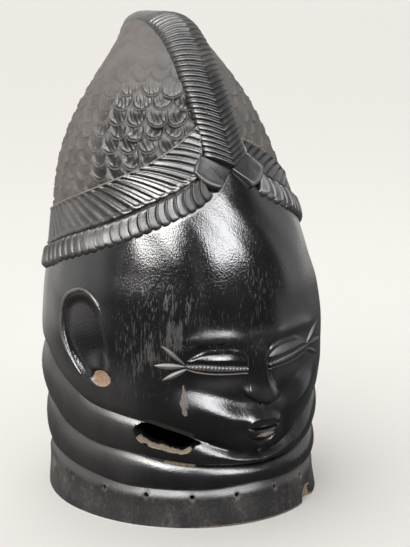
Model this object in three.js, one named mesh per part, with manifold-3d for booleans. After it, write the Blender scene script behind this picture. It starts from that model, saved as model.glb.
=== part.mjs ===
import * as THREE from "three";
import Module from "manifold-3d";

// Driving sizes of the helmet mask, in mm
const HEIGHT = 411;
const RIM_WIDTH = 231;
const RIM_DEPTH = 249;
const WALL = 14;
const CAVITY_HEIGHT = 262;
const CAVITY_SPRING = 178;
const APEX_SHIFT = 38;

const COMB_HALF_WIDTH = 20.5;
const COMB_CREST = 9.5;
const COMB_EDGE = 4.6;
const COMB_PITCH = 5.2;
const COMB_BACK_PITCH = 8.5;
const COMB_SKEW = 12;
const RIB_DEPTH = 1.8;
const COMB_WEAR_REACH = 45;
const TOP_WEAR = 1.9;

const COIFFURE_COLUMNS = 44;
const BRAID_HEIGHT = 18.5;
const BRAID_LIFT = 5;
const BRAID_EDGE = 1.6;
const BAND_LIFT = 2.9;
const BAND_SKEW_ANGLE = 9;
const SCALE_LIFT = 3;
const SCALE_ROWS = 12;
const SCALE_FOOT = 0.4;
const CROWN_GAP = 12;

const FOLD_LIFT = 2.5;
const GROOVE_DEPTH = 3.5;
const FACE_HOLLOW = 4.5;
const EAR_BOWL = 3.5;
const EAR_RIM_LIFT = 3.6;
const LID_DOME = 4.2;
const FEATURE_BEDDING = 12;

const RIM_HOLES = 19;
const RIM_HOLE_WIDTH = 5;
const RIM_HOLE_HEIGHT = 25;
const CHIP_HEIGHT = 11;
const CHIP_SHOULDER = 8;
const CHIP_DEPTH = 5;

const BEDDING = 6;
const BODY_COLUMNS = 48;

// Reaches of the form: share of the height, then half width, front and back as shares of the rim's
const SECTIONS = [
  [0, 1, 0.996, 1.004],
  [0.073, 0.97, 0.972, 1.02],
  [0.146, 0.983, 0.956, 0.996],
  [0.219, 1.022, 0.948, 0.956],
  [0.292, 1.052, 0.948, 0.924],
  [0.365, 1.052, 0.94, 0.916],
  [0.438, 1.026, 0.924, 0.932],
  [0.511, 0.948, 0.884, 0.956],
  [0.584, 0.883, 0.803, 0.98],
  [0.657, 0.84, 0.667, 0.956],
  [0.73, 0.775, 0.522, 0.884],
  [0.803, 0.658, 0.399, 0.787],
  [0.864, 0.519, 0.281, 0.699],
  [0.912, 0.385, 0.177, 0.635],
  [0.954, 0.267, 0.063, 0.586],
  [0.9805, 0.2, -0.064, 0.535],
];

// Carved lines round the head: turn from the front in degrees, share of the height
const HAIRLINE = [
  [0, 0.69], [7, 0.667], [14.5, 0.645], [20, 0.631], [32, 0.607], [44, 0.586],
  [56, 0.564], [70, 0.542], [89, 0.513], [112, 0.479], [145, 0.448], [180, 0.436],
];
const BAND_TOP_RIGHT = [
  [0, 0.79], [13, 0.778], [25, 0.747], [42, 0.709], [61, 0.676], [89, 0.633], [120, 0.594], [180, 0.555],
];
const BAND_TOP_LEFT = [
  [0, 0.76], [13.5, 0.75], [21, 0.739], [34, 0.711], [44, 0.686], [56, 0.66], [89, 0.624], [120, 0.59],
  [180, 0.555],
];
const JAW_CREASE = [
  [0, 0.137], [10, 0.144], [16, 0.156], [24, 0.17], [33, 0.187], [43, 0.204], [60, 0.221],
  [72, 0.234], [83, 0.258], [94, 0.283], [104, 0.312], [130, 0.335], [180, 0.34],
];
const FOLD_GROOVE = [
  [0, 0.117], [27, 0.124], [41, 0.131], [58, 0.144], [72, 0.148], [89, 0.163], [103, 0.192],
  [130, 0.215], [180, 0.22],
];
const RIM_GROOVE = [[0, 0.079], [25, 0.074], [56, 0.073], [75, 0.08], [107, 0.09], [180, 0.095]];
const EAR = [
  [78, 0.465], [86, 0.444], [88, 0.4], [86, 0.357], [80, 0.315], [72, 0.284], [65, 0.277],
  [60, 0.3], [60.5, 0.345], [63, 0.394], [66, 0.436], [71, 0.46],
];
const BREAK = [
  [-52, 0.205], [-47, 0.209], [-40, 0.2], [-33, 0.188], [-24.5, 0.172], [-27, 0.166], [-33, 0.161],
  [-39, 0.166], [-44, 0.174], [-50, 0.184],
];
const EYE_TOP = [[6, 0.333], [9, 0.345], [15, 0.353], [21, 0.353], [30, 0.335]];
const EYE_SLIT = [[6, 0.313], [18, 0.322], [30, 0.331]];
const EYE_BOTTOM = [[6, 0.303], [17, 0.306], [24, 0.311], [30, 0.322]];
const RAYS = [[40, 0.371], [43.5, 0.333], [40, 0.301]];
const RAY_ROOT = [32.4, 0.332];
const PLAQUE = [[-0.4, 0.69], [14.7, 0.716], [20.5, 0.688], [10, 0.658]];

const wasm = await Module();
wasm.setup();

// A smooth curve through a short list of pairs, with no overshoot between them
function curve(pairs) {
  const last = pairs.length - 1;
  const rise = [];
  for (let i = 0; i < last; i += 1) {
    rise.push((pairs[i + 1][1] - pairs[i][1]) / (pairs[i + 1][0] - pairs[i][0]));
  }
  const slope = pairs.map((pair, i) => {
    if (i === 0) return rise[0];
    if (i === last) return rise[last - 1];
    return rise[i - 1] * rise[i] <= 0 ? 0 : 2 / (1 / rise[i - 1] + 1 / rise[i]);
  });
  return (x) => {
    const place = THREE.MathUtils.clamp(x, pairs[0][0], pairs[last][0]);
    let i = 0;
    while (i < last - 1 && place > pairs[i + 1][0]) i += 1;
    const span = pairs[i + 1][0] - pairs[i][0];
    const t = (place - pairs[i][0]) / span;
    const back = 1 - t;
    return (1 + 2 * t) * back * back * pairs[i][1] + t * back * back * span * slope[i]
      + t * t * (3 - 2 * t) * pairs[i + 1][1] - t * t * back * span * slope[i + 1];
  };
}

// Length along the widest part of the face for one degree of turn
const DEGREE = Math.PI * RIM_WIDTH / 345;

// Fine carving on the free form goes with the height: one millimetre on a mask 411 mm high
const CARVING = HEIGHT / 411;

// The form's top lies a little under the comb's worn top
const FORM_TOP = HEIGHT - TOP_WEAR;

// The reaches are joined over the root of the height left, so that the top comes out round
function reachCurve(column, apex) {
  const pairs = SECTIONS.map((row) => [Math.sqrt(1 - row[0]), row[column]]).reverse();
  return curve([[0, apex], ...pairs]);
}

const apexShare = APEX_SHIFT / (RIM_DEPTH / 2);
const halfWidthOf = reachCurve(1, 0);
const frontOf = reachCurve(2, -apexShare);
const backOf = reachCurve(3, apexShare);

function levelRoot(z) {
  return Math.sqrt(THREE.MathUtils.clamp(1 - z / FORM_TOP, 0, 1));
}

function onForm(turn, z) {
  const q = levelRoot(z);
  const front = frontOf(q) * RIM_DEPTH / 2;
  const back = backOf(q) * RIM_DEPTH / 2;
  const angle = THREE.MathUtils.degToRad(turn);
  return new THREE.Vector3(
    halfWidthOf(q) * RIM_WIDTH / 2 * Math.sin(angle),
    (back - front) / 2 - (back + front) / 2 * Math.cos(angle),
    z,
  );
}

// A point raised off the form along its own normal
function skin(turn, z, lift) {
  const level = Math.min(z, FORM_TOP - CARVING);
  const along = onForm(turn + 0.5, level).sub(onForm(turn - 0.5, level));
  const up = onForm(turn, level + 0.5 * CARVING).sub(onForm(turn, level - 0.5 * CARVING));
  return onForm(turn, z).addScaledVector(along.cross(up).normalize(), lift);
}

function insideForm(p) {
  if (p.z >= FORM_TOP) return false;
  const q = levelRoot(p.z);
  const front = frontOf(q) * RIM_DEPTH / 2;
  const back = backOf(q) * RIM_DEPTH / 2;
  const across = p.x / (halfWidthOf(q) * RIM_WIDTH / 2);
  const along = (p.y - (back - front) / 2) / ((back + front) / 2);
  return across * across + along * along < 1;
}

function toSolid(points, faces) {
  const geometry = new THREE.BufferGeometry();
  const values = points.flatMap((p) => p.toArray()).map((value) => Math.round(value * 1e4) / 1e4);
  geometry.setAttribute("position", new THREE.Float32BufferAttribute(values, 3));
  geometry.setIndex(faces.flat());
  const v = geometry.attributes.position.array;
  const f = new Uint32Array(geometry.index.array);
  let volume = 0;
  for (let i = 0; i < f.length; i += 3) {
    const [a, b, c] = [f[i] * 3, f[i + 1] * 3, f[i + 2] * 3];
    volume += v[a] * (v[b + 1] * v[c + 2] - v[b + 2] * v[c + 1])
      - v[a + 1] * (v[b] * v[c + 2] - v[b + 2] * v[c])
      + v[a + 2] * (v[b] * v[c + 1] - v[b + 1] * v[c]);
  }
  if (volume < 0) {
    for (let i = 0; i < f.length; i += 3) [f[i], f[i + 1]] = [f[i + 1], f[i]];
  }
  return new wasm.Manifold(new wasm.Mesh({ numProp: 3, vertProperties: v, triVerts: f }));
}

// A closed slab between an upper and a lower sheet; a ring closes on itself along its length,
// and crossed cells turn every other diagonal
function slab(columns, rows, at, { ring = false, crossed = false } = {}) {
  const points = [];
  const faces = [];
  const wide = ring ? columns : columns + 1;
  const layer = wide * (rows + 1);
  for (const upper of [true, false]) {
    for (let j = 0; j <= rows; j += 1) {
      for (let i = 0; i < wide; i += 1) points.push(at(i / columns, j / rows, upper, i, j));
    }
  }
  const quad = (a, b, c, d) => faces.push([a, b, c], [a, c, d]);
  for (let j = 0; j < rows; j += 1) {
    for (let i = 0; i < columns; i += 1) {
      const n = (i + 1) % wide;
      const [a, b, c, d] = [j * wide + i, j * wide + n, (j + 1) * wide + n, (j + 1) * wide + i];
      if (crossed && (i + j) % 2) quad(b, c, d, a);
      else quad(a, b, c, d);
      quad(layer + d, layer + c, layer + b, layer + a);
    }
  }
  for (let i = 0; i < columns; i += 1) {
    const n = (i + 1) % wide;
    const far = rows * wide;
    quad(n, i, layer + i, layer + n);
    quad(far + i, far + n, layer + far + n, layer + far + i);
  }
  for (let j = 0; !ring && j < rows; j += 1) {
    const [a, b] = [j * wide, (j + 1) * wide];
    quad(a, b, layer + b, layer + a);
    quad(b + columns, a + columns, layer + a + columns, layer + b + columns);
  }
  return toSolid(points, faces);
}

// A closed body from rings of points, ended by a point below and a point above
function turned(columns, rings, ringPoint, low, high) {
  const points = [low, high];
  const faces = [];
  for (let j = 0; j < rings; j += 1) {
    for (let i = 0; i < columns; i += 1) points.push(ringPoint(i / columns, j));
  }
  const id = (i, j) => 2 + j * columns + (i % columns);
  for (let i = 0; i < columns; i += 1) {
    faces.push([0, id(i + 1, 0), id(i, 0)], [1, id(i, rings - 1), id(i + 1, rings - 1)]);
    for (let j = 0; j + 1 < rings; j += 1) {
      faces.push([id(i, j), id(i + 1, j), id(i + 1, j + 1)], [id(i, j), id(i + 1, j + 1), id(i, j + 1)]);
    }
  }
  return toSolid(points, faces);
}

// A plug through the skin with a given outline of turns and heights
function plug(outline, from, to) {
  const middle = outline.reduce((sum, p) => [sum[0] + p[0], sum[1] + p[1]], [0, 0]);
  const [turn, z] = middle.map((value) => value / outline.length);
  const rings = [from, to];
  const ringPoint = (u, j) => {
    const p = outline[Math.round(u * outline.length)];
    return skin(p[0], p[1], rings[j]);
  };
  return turned(outline.length, 2, ringPoint, skin(turn, z, from), skin(turn, z, to));
}

const hairline = curve(HAIRLINE);
const bandTopRight = curve(BAND_TOP_RIGHT);
const bandTopLeft = curve(BAND_TOP_LEFT);
const jawCrease = curve(JAW_CREASE);
const foldGroove = curve(FOLD_GROOVE);
const rimGroove = curve(RIM_GROOVE);

function bandTop(turn) {
  return HEIGHT * (turn < 0 ? bandTopRight(-turn) : bandTopLeft(turn));
}

function hollowAt(turn, z) {
  const across = Math.min(1, Math.abs(turn) / 38);
  const high = Math.min(1, Math.abs(z / HEIGHT - 0.315) / 0.075);
  return FACE_HOLLOW * (1 - across ** 2) ** 2 * (1 - high ** 2) ** 2;
}

// The head: rim, two neck folds, face and skull, as rows between the carved lines
function head() {
  const rows = [];
  const stretch = (low, high, steps, lift) => {
    for (let k = 0; k < steps; k += 1) {
      const t = k / steps;
      rows.push((turn) => {
        const z = THREE.MathUtils.lerp(low(turn), high(turn), t);
        return [z, lift(t, turn, z)];
      });
    }
  };
  const at = (line) => (turn) => line(Math.abs(turn)) * HEIGHT;
  const bulge = (t) => THREE.MathUtils.lerp(-GROOVE_DEPTH, FOLD_LIFT, Math.sin(Math.PI * t) ** 0.6);
  stretch(() => 0, at(rimGroove), 2, (t) => -GROOVE_DEPTH * t ** 2);
  stretch(at(rimGroove), at(foldGroove), 4, bulge);
  stretch(at(foldGroove), at(jawCrease), 4, bulge);
  const cheek = (t, turn, z) => -GROOVE_DEPTH * Math.max(0, 1 - t / 0.1) + CARVING - hollowAt(turn, z);
  const scalp = (turn) => at(hairline)(turn) + 3 * CARVING;
  stretch(at(jawCrease), scalp, 8, cheek);
  const top = FORM_TOP - 0.6 * CARVING;
  for (let k = 0; k < 5; k += 1) {
    rows.push((turn) => {
      const root = THREE.MathUtils.lerp(levelRoot(scalp(turn)), levelRoot(top), k / 5);
      return [FORM_TOP * (1 - root * root), k < 4 ? -1.5 * CARVING * Math.min(1, k) : 0];
    });
  }
  rows.push(() => [top, -0.5 * CARVING]);
  const ringPoint = (u, j) => {
    const turn = u * 360 - 180;
    const [z, lift] = rows[j](turn);
    return skin(turn, z, lift).setZ(j === 0 ? 0 : skin(turn, z, lift).z);
  };
  const floor = new THREE.Vector3(0, 0, 0);
  const crown = onForm(0, FORM_TOP).setZ(FORM_TOP - 0.5 * CARVING);
  return turned(BODY_COLUMNS, rows.length, ringPoint, floor, crown);
}

// The hollow that the wearer's head goes into, domed above
function cavity() {
  const levels = [-6, 30, 80, 125].map((level) => level * CARVING);
  levels.push(CAVITY_SPRING);
  const rise = CAVITY_HEIGHT - CAVITY_SPRING;
  for (const share of [0.4, 0.7, 0.92]) levels.push(CAVITY_SPRING + rise * share);
  const ringPoint = (u, j) => {
    const z = levels[j];
    const p = skin(u * 360 - 180, Math.max(0, Math.min(z, CAVITY_SPRING)), -WALL);
    const over = Math.max(0, z - CAVITY_SPRING) / rise;
    const shrink = Math.sqrt(1 - over * over);
    return new THREE.Vector3(p.x * shrink, p.y * shrink, z);
  };
  const low = new THREE.Vector3(0, 0, levels[0]);
  return turned(32, levels.length, ringPoint, low, new THREE.Vector3(0, 0, CAVITY_HEIGHT));
}

// The midline of the form from the brow over the top to the nape, as places along its length
const combPath = (() => {
  const start = -levelRoot(HEIGHT * 0.692);
  const end = levelRoot(HEIGHT * 0.495);
  const places = [];
  let length = 0;
  for (let i = 0; i <= 240; i += 1) {
    const q = THREE.MathUtils.lerp(start, end, i / 240);
    const reach = q < 0 ? -frontOf(-q) : backOf(q);
    const p = new THREE.Vector2(reach * RIM_DEPTH / 2, FORM_TOP * (1 - q * q));
    if (i) length += p.distanceTo(places[i - 1].p);
    places.push({ p, length });
  }
  return places;
})();
const combLength = combPath[combPath.length - 1].length;

function combPoint(x, along, lift) {
  const s = THREE.MathUtils.clamp(along, 0, combLength);
  let i = 1;
  while (combPath[i].length < s && i < combPath.length - 1) i += 1;
  const [a, b] = [combPath[i - 1], combPath[i]];
  const p = a.p.clone().lerp(b.p, (s - a.length) / (b.length - a.length));
  const step = b.p.clone().sub(a.p).normalize();
  const normal = new THREE.Vector3(0, -step.y, step.x);
  const from = new THREE.Vector3(x, p.x, p.y);
  let [out, inn] = [-3 * CARVING, 45 * CARVING];
  for (let k = 0; k < 26; k += 1) {
    const mid = (out + inn) / 2;
    if (insideForm(from.clone().addScaledVector(normal, -mid))) inn = mid;
    else out = mid;
  }
  return from.addScaledVector(normal, lift - inn);
}

// The comb wears down towards the top of the head
function combFade(s) {
  const front = combPath.find((place) => place.p.x > APEX_SHIFT).length;
  const near = Math.abs(s - front) / COMB_WEAR_REACH;
  return THREE.MathUtils.lerp(0.16, 1, THREE.MathUtils.smoothstep(near, 0, 1));
}

// The crested comb with its ribs set in a herringbone, wider apart at the back
function comb() {
  const frontLength = combPath.find((place) => place.p.x > APEX_SHIFT).length;
  const frontRows = 2 * Math.round(frontLength / COMB_PITCH);
  const backRows = 2 * Math.round((combLength - frontLength) / COMB_BACK_PITCH);
  const at = (u, v, upper, i, j) => {
    const side = Math.abs(u * 2 - 1);
    const onFront = j <= frontRows;
    const place = onFront ? j / frontRows : (j - frontRows) / backRows;
    const along = onFront ? frontLength * place : frontLength + (combLength - frontLength) * place;
    const fall = onFront ? 1 - place : place * 0.5;
    const s = along + COMB_SKEW * side * (onFront ? fall : -fall);
    const crest = THREE.MathUtils.lerp(COMB_CREST, COMB_EDGE, side);
    const rib = (j % 2 ? 0.5 : -0.5) * RIB_DEPTH;
    const lift = (crest + rib) * combFade(s);
    return combPoint((u * 2 - 1) * COMB_HALF_WIDTH, s, upper ? lift : -BEDDING);
  };
  return slab(2, frontRows + backRows, at);
}

// One side of the coiffure, in rows from the hairline up: the braid of lapped, rounded
// elements, the hatched band, and the field of scales that runs to the top
function coiffure(side) {
  const low = (turn) => HEIGHT * hairline(Math.abs(turn));
  const rows = [];
  for (const [v, round] of [[0, 0], [0.3, 1], [0.7, 0.85], [1, 0]]) {
    const lift = (i) => BRAID_EDGE + (BRAID_LIFT - BRAID_EDGE) * round * (i % 2 ? 1 : 0.3);
    rows.push({ z: (turn) => low(turn) + BRAID_HEIGHT * v, lift, skew: 0 });
  }
  for (const [v, skew] of [[0.03, -0.5], [0.97, 0.5], [1, 0.5]]) {
    const z = (turn) => THREE.MathUtils.lerp(low(turn) + BRAID_HEIGHT, bandTop(turn), v);
    const lift = (i) => (v < 1 ? BAND_LIFT + (i % 2 ? 0.5 : -0.5) * RIB_DEPTH : SCALE_FOOT);
    rows.push({ z, lift, skew });
  }
  for (let k = 1; k <= SCALE_ROWS; k += 1) {
    const z = (turn) => {
      const top = levelRoot(FORM_TOP - CROWN_GAP);
      const root = THREE.MathUtils.lerp(levelRoot(bandTop(turn)), top, k / SCALE_ROWS);
      return FORM_TOP * (1 - root * root);
    };
    const lift = (i) => (k === SCALE_ROWS ? -SCALE_LIFT : (i + k) % 2 ? SCALE_LIFT : SCALE_FOOT);
    rows.push({ z, lift, skew: 0.5 });
  }
  const at = (u, v, upper, i, j) => {
    const ends = Math.sin(Math.PI * u) ** 0.5;
    const turn = side * (THREE.MathUtils.lerp(5, 180, u) + BAND_SKEW_ANGLE * rows[j].skew * ends);
    return skin(turn, rows[j].z(turn), upper ? rows[j].lift(i) : -BEDDING);
  };
  return slab(COIFFURE_COLUMNS, rows.length - 1, at, { crossed: true });
}

// The plain plaque that starts each braid at the front
function plaque(side) {
  const at = (u, v, upper) => {
    const mix = (k) => THREE.MathUtils.lerp(
      THREE.MathUtils.lerp(PLAQUE[0][k], PLAQUE[1][k], u),
      THREE.MathUtils.lerp(PLAQUE[3][k], PLAQUE[2][k], u),
      v,
    );
    const round = Math.sin(Math.PI * u) * Math.sin(Math.PI * v);
    return skin(side * mix(0), mix(1) * HEIGHT, upper ? (3.2 + 2.6 * round) * CARVING : -BEDDING);
  };
  return slab(3, 3, at);
}

function smoothOutline(pairs, count) {
  const points = pairs.map((p) => new THREE.Vector3(p[0] * CARVING, p[1] * HEIGHT, 0));
  const loop = new THREE.CatmullRomCurve3(points, true);
  return loop.getSpacedPoints(count).slice(0, count).map((p) => [p.x / CARVING, p.y]);
}

function earOutline(side, share) {
  const [turn, z] = [74, 0.371 * HEIGHT];
  return smoothOutline(EAR, 16).map((p) => [
    side * (turn + (p[0] - turn) * share),
    z + (p[1] - z) * (1 - (1 - share) * 0.6),
  ]);
}

function earRim(side) {
  const lines = [earOutline(side, 1.07), earOutline(side, 0.96), earOutline(side, 0.8)];
  const lifts = [SCALE_FOOT, EAR_RIM_LIFT, SCALE_FOOT];
  const at = (u, v, upper, i, j) => {
    const [turn, z] = lines[j][i];
    return skin(turn, z, upper ? lifts[j] : -BEDDING);
  };
  return slab(16, 2, at, { ring: true });
}

// One eye: a domed lid, the corded lower edge and three leaf-shaped marks
function eye(side) {
  const top = curve(EYE_TOP);
  const slit = curve(EYE_SLIT);
  const bottom = curve(EYE_BOTTOM);
  const strip = (low, high, v, u) => {
    const turn = THREE.MathUtils.lerp(6, 30, u);
    return [turn, HEIGHT * THREE.MathUtils.lerp(low(turn), high(turn), v)];
  };
  const lid = (u, v, upper) => {
    const [turn, z] = strip(slit, top, v, u);
    const dome = Math.sin(Math.PI * u) ** 0.7 * Math.sin(Math.PI * v) ** 0.7;
    return skin(side * turn, z, upper ? LID_DOME * dome - 2.4 * CARVING : -FEATURE_BEDDING);
  };
  const cord = (u, v, upper, i, j) => {
    const [turn, z] = strip(bottom, (t) => slit(t) - 0.003, v, u);
    const twist = CARVING * (j === 1 ? (i % 2 ? 1.6 : 0.7) : -1.6);
    return skin(side * turn, z, upper ? twist - hollowAt(turn, z) * 0.5 : -FEATURE_BEDDING);
  };
  const ray = (tip) => (u, v, upper, i, j) => {
    const spread = [0.3, 2.6, 2.2, 0.3][i] * CARVING * (v - 0.5) * 2;
    const ends = [(tip[0] - RAY_ROOT[0]) * DEGREE, (tip[1] - RAY_ROOT[1]) * HEIGHT];
    const length = Math.hypot(...ends);
    const turn = THREE.MathUtils.lerp(RAY_ROOT[0], tip[0], u) - spread * ends[1] / length / DEGREE;
    const z = HEIGHT * THREE.MathUtils.lerp(RAY_ROOT[1], tip[1], u) + spread * ends[0] / length;
    return skin(side * turn, z, upper ? (j === 1 ? 2.4 : 0.9) * CARVING : 2 * CARVING - FEATURE_BEDDING);
  };
  return [slab(5, 3, lid), slab(10, 2, cord), ...RAYS.map((tip) => slab(3, 2, ray(tip)))];
}

// The small nose: a narrow bridge that widens to the wings
function nose() {
  const width = curve([[0.222, 5.2], [0.24, 6.9], [0.26, 6.6], [0.285, 3.8], [0.32, 2.8], [0.385, 3.3]]);
  const ahead = curve([
    [0.222, -4.5], [0.23, 1], [0.245, 4.6], [0.26, 4.4], [0.3, 0.4], [0.345, -1.5], [0.385, 0.8],
  ]);
  const at = (u, v, upper) => {
    const share = THREE.MathUtils.lerp(0.222, 0.385, v);
    const across = (u * 2 - 1);
    const turn = across * width(share);
    const round = Math.cos(across * Math.PI / 2) ** 0.75;
    const lift = CARVING * THREE.MathUtils.lerp(-6, ahead(share), round);
    return skin(turn, share * HEIGHT, upper ? lift : -FEATURE_BEDDING);
  };
  return slab(6, 10, at);
}

// Small full lips with the line of the mouth between them
function mouth() {
  const lift = curve([
    [0.164, -1], [0.174, 4.4], [0.184, 3.6], [0.19, -0.8], [0.196, 3], [0.206, 3.2], [0.216, -1],
  ]);
  const at = (u, v, upper) => {
    const share = THREE.MathUtils.lerp(0.166, 0.214, v);
    const across = u * 2 - 1;
    const turn = 1 + across * 7.2;
    const z = HEIGHT * (0.19 + (share - 0.19) * (1 - 0.65 * across ** 2) + 0.006 * across ** 2);
    const ahead = CARVING * THREE.MathUtils.lerp(-1.5, lift(share), 1 - across ** 2);
    return skin(turn, z, upper ? ahead : 2 * CARVING - FEATURE_BEDDING);
  };
  return slab(6, 9, at);
}

function rimHoles() {
  const holes = [];
  for (let k = 0; k < RIM_HOLES; k += 1) {
    const turn = 7 + k * 360 / RIM_HOLES;
    const outline = [];
    for (let i = 0; i < 6; i += 1) {
      const angle = (i + 0.5) * Math.PI / 3;
      const r = RIM_HOLE_WIDTH / 2;
      outline.push([turn + r * Math.cos(angle) / DEGREE, RIM_HOLE_HEIGHT + r * Math.sin(angle)]);
    }
    holes.push(plug(outline, -WALL - BEDDING, BEDDING));
  }
  return holes;
}

function build() {
  const raised = [comb(), nose(), mouth()];
  for (const side of [-1, 1]) {
    raised.push(coiffure(side), plaque(side), ...eye(side));
  }
  let body = wasm.Manifold.union([head(), ...raised]);
  const cuts = [cavity(), ...rimHoles()];
  for (const side of [-1, 1]) cuts.push(plug(earOutline(side, 0.86), -EAR_BOWL, FEATURE_BEDDING));
  const raise = 12 * CARVING;
  cuts.push(plug(BREAK.map((p) => [p[0], p[1] * HEIGHT]), 2 * CARVING - WALL - raise, raise));
  const chip = [
    [31.5, -CHIP_SHOULDER], [31.5, CHIP_SHOULDER - CARVING], [33.5, CHIP_HEIGHT],
    [36, CHIP_SHOULDER], [36.5, -CHIP_SHOULDER],
  ];
  cuts.push(plug(chip, -CHIP_DEPTH, raise));
  body = body.subtract(wasm.Manifold.union(cuts));
  body = wasm.Manifold.union([body, earRim(-1), earRim(1)]);
  const lobe = [[-69, 0.277], [-66, 0.268], [-61, 0.275], [-60, 0.298], [-64, 0.306], [-69, 0.3]];
  body = body.subtract(plug(lobe.map((p) => [p[0], p[1] * HEIGHT]), 0.8 * CARVING, raise));
  return body.getMesh();
}

const carved = build();
const geometry = new THREE.BufferGeometry();
geometry.setAttribute("position", new THREE.Float32BufferAttribute(carved.vertProperties, 3));
geometry.setIndex(new THREE.Uint32BufferAttribute(carved.triVerts, 1));
geometry.computeBoundingBox();
const middle = geometry.boundingBox.getCenter(new THREE.Vector3());
geometry.translate(-middle.x, -middle.y, -geometry.boundingBox.min.z);
geometry.computeVertexNormals();

const lacquer = new THREE.MeshStandardMaterial({ color: 0x1d1a18, roughness: 0.32, metalness: 0 });
const mask = new THREE.Mesh(geometry, lacquer);
mask.name = "mask";

const group = new THREE.Group();
group.add(mask);
export default group;
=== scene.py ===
import math

import bmesh
import bpy
import numpy as np
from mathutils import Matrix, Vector


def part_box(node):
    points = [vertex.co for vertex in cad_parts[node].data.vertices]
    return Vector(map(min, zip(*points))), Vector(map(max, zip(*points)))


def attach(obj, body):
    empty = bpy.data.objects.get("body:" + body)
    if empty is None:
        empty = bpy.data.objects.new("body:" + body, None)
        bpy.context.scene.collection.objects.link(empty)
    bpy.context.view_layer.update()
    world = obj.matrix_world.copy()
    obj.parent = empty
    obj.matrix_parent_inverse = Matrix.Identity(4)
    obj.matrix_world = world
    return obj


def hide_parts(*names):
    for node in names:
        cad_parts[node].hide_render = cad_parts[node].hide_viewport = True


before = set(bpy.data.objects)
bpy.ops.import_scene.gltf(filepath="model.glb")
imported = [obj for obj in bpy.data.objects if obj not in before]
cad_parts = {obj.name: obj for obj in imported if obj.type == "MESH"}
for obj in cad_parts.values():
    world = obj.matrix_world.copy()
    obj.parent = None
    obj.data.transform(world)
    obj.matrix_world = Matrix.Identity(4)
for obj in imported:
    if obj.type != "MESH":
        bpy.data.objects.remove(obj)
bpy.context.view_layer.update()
low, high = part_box("mask")

# One millimetre of the carving, in metres, and the lengths that the carving is laid out by
CAD_HEIGHT = 411.21
MM = high.z / CAD_HEIGHT
HEIGHT = 411.0
TOP = HEIGHT - 1.9
RIM_WIDTH = 231.0
WALL = 14.0
CAVITY_TOP = 262.0
CAVITY_SPRING = 178.0
APEX_SHIFT = 38.0
FORM_SHIFT = -4.186
DEGREE = math.pi * RIM_WIDTH / 345
BEDDING = 6.0

GROOVE = 3.5
FOLD = 2.5
BRAID_HEIGHT = 18.5
COMB_HALF_WIDTH = 20.5

RIM_HOLES = 19
HOLE_STEP = 360 / RIM_HOLES
FIRST_HOLE = 7
HOLE_HEIGHT = 25
HOLE_RADIUS = 2.1
MOUTH_RADIUS = 3.3


class Line:
    """A smooth line through a few pairs, with no overshoot between them."""

    def __init__(self, *pairs):
        self.x, self.y = np.array(pairs, float).T
        rise = np.diff(self.y) / np.diff(self.x)
        before, after = rise[:-1], rise[1:]
        same = before * after > 0
        both = np.where(same, before + after, 1.0)
        inner = np.where(same, 2 * before * after / both, 0.0)
        self.slope = np.concatenate([rise[:1], inner, rise[-1:]])

    def __call__(self, at):
        at = np.clip(np.asarray(at, float), self.x[0], self.x[-1])
        i = np.clip(np.searchsorted(self.x, at, "right") - 1, 0, len(self.x) - 2)
        span = self.x[i + 1] - self.x[i]
        t = (at - self.x[i]) / span
        r = 1 - t
        start = (1 + 2 * t) * r * r * self.y[i] + t * r * r * span * self.slope[i]
        end = t * t * (3 - 2 * t) * self.y[i + 1] - t * t * r * span * self.slope[i + 1]
        return start + end


# Reaches of the form: height share, half width, front and back reach in mm
SECTIONS = (
    (0, 115.5, 124, 125),
    (0.073, 112, 121, 127),
    (0.146, 113.5, 119, 124),
    (0.219, 118, 118, 119),
    (0.292, 121.5, 118, 115),
    (0.365, 121.5, 117, 114),
    (0.438, 118.5, 115, 116),
    (0.511, 109.5, 110, 119),
    (0.584, 102, 100, 122),
    (0.657, 97, 83, 119),
    (0.73, 89.5, 65, 110),
    (0.803, 76, 49.7, 98),
    (0.864, 60, 35, 87),
    (0.912, 44.5, 22, 79),
    (0.954, 30.8, 7.8, 73),
    (0.9805, 23.1, -8, 66.6),
)


def reach_line(column, apex):
    pairs = [(math.sqrt(1 - row[0]), row[column]) for row in SECTIONS]
    return Line((0, apex), *reversed(pairs))


half_width = reach_line(1, 0)
front_reach = reach_line(2, -APEX_SHIFT)
back_reach = reach_line(3, APEX_SHIFT)

# Carved lines round the head: turn from the front in degrees, height in mm
HAIRLINE = Line(
    (0, 283.5), (7, 274), (14.5, 265), (20, 259.4), (32, 249.5), (44, 241), (56, 232),
    (70, 222.8), (89, 211), (112, 197), (145, 184), (180, 179),
)
BAND_TOP_RIGHT = Line(
    (0, 325), (13, 320), (15.7, 317.5), (25, 307), (42, 291.4), (61, 278), (89, 260.3),
    (120, 244.3), (180, 228),
)
BAND_TOP_LEFT = Line(
    (0, 314), (13.5, 308.5), (21, 303.7), (34, 292), (44, 282), (56, 271), (89, 256.5),
    (120, 242.5), (180, 228),
)
JAW_CREASE = Line(
    (0, 56.3), (10, 59.3), (16, 64), (24, 70), (33, 77), (43, 84), (60, 91), (72, 96),
    (83, 106), (94, 116.5), (104, 128.5), (130, 137.5), (180, 140),
)
FOLD_GROOVE = Line(
    (0, 48), (27, 51), (41, 54), (58, 59), (72, 61), (89, 67), (103, 79), (130, 88), (180, 90),
)
RIM_GROOVE = Line((0, 32.5), (25, 30.5), (56, 30), (75, 33), (107, 37), (180, 39))
EAR = (
    (78, 191), (86, 182.5), (88, 164.5), (86, 147), (80, 129.5), (72, 116.5), (65, 113.5),
    (60, 123), (60.5, 142), (63, 162), (66, 179), (71, 189),
)
EAR_MIDDLE = np.array((74.0, 152.5))
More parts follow.
